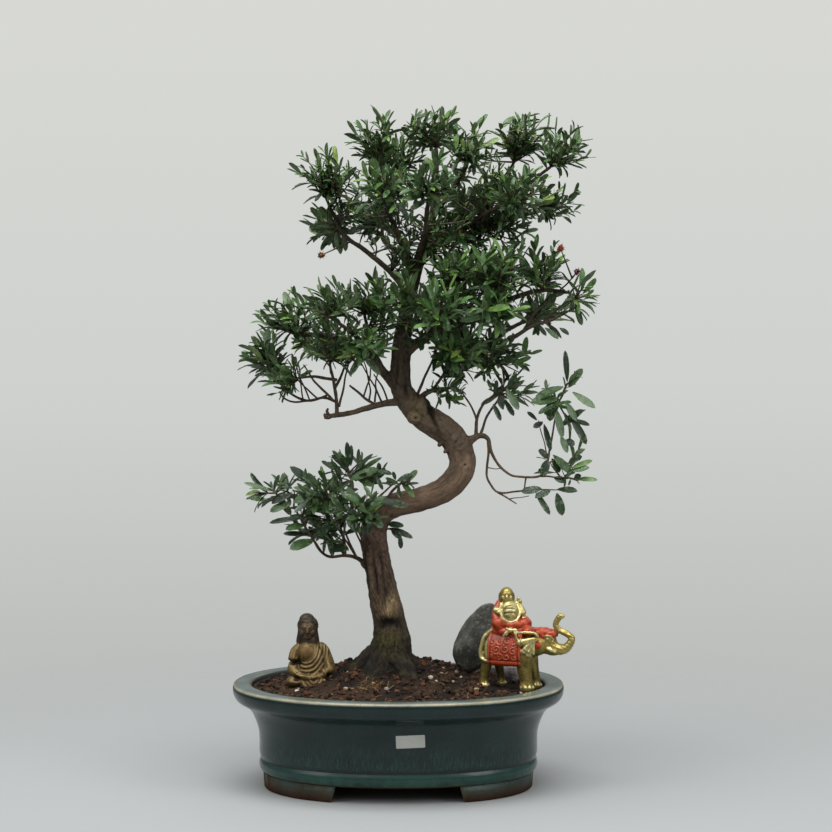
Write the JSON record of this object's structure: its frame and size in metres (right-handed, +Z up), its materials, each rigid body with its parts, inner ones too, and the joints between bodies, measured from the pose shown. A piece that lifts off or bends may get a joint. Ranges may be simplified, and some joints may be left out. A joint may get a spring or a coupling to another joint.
{
  "type": "potted bonsai tree",
  "caption": "Small trained evergreen tree with an S-shaped trunk and airy pads of narrow leaves, rooted in soil in a footed oval glazed pot, with stones and small figures.",
  "frame": {"origin": "on the table, under the middle of the oval pot", "axes": "+Z up along the tree, +X along the pot's long side to the right of the viewer, -Y towards the viewer in front of the label"},
  "size_m": [0.3387, 0.2288, 0.615],
  "materials": {
    "glaze": "dark teal stoneware glaze over bare brown clay feet",
    "soil": "damp granular bonsai soil",
    "bark": "fissured bark",
    "leaf": "waxy dark green leaves",
    "stone": "dull dark grey rock",
    "bronze": "painted cast resin with a worn bronze look",
    "gold": "painted cast resin, gold with orange-red cloth",
    "label": "bare white paper",
    "plastic": "black plastic mesh"
  },
  "bodies": {
    "root": {"pot": "glaze", "soil": "soil", "wood": "bark", "label": "label", "drain_mesh_left": "plastic", "drain_mesh_right": "plastic", "stone": "stone", "stone_small": "stone", "seated_figure": "bronze", "elephant_rider": "gold", "spray_top_1": "leaf", "spray_top_2": "leaf", "spray_top_3": "leaf", "spray_top_4": "leaf", "spray_top_5": "leaf", "spray_top_6": "leaf", "spray_top_7": "leaf", "spray_top_8": "leaf", "spray_top_9": "leaf", "spray_top_10": "leaf", "spray_top_11": "leaf", "spray_top_12": "leaf", "spray_top_13": "leaf", "spray_top_14": "leaf", "spray_left_1": "leaf", "spray_left_2": "leaf", "spray_left_3": "leaf", "spray_left_4": "leaf", "spray_left_5": "leaf", "spray_left_6": "leaf", "spray_left_7": "leaf", "spray_left_8": "leaf", "spray_right_1": "leaf", "spray_right_2": "leaf", "spray_right_3": "leaf", "spray_right_4": "leaf", "spray_right_5": "leaf", "spray_right_6": "leaf", "spray_right_7": "leaf", "spray_right_8": "leaf", "spray_right_9": "leaf", "spray_right_10": "leaf", "spray_right_11": "leaf", "spray_hang_1": "leaf", "spray_hang_2": "leaf", "spray_low_1": "leaf", "spray_low_2": "leaf", "spray_low_3": "leaf", "spray_low_4": "leaf", "spray_low_5": "leaf", "spray_low_6": "leaf", "spray_arm_1": "leaf", "spray_arm_2": "leaf"}
  },
  "joints": []
}
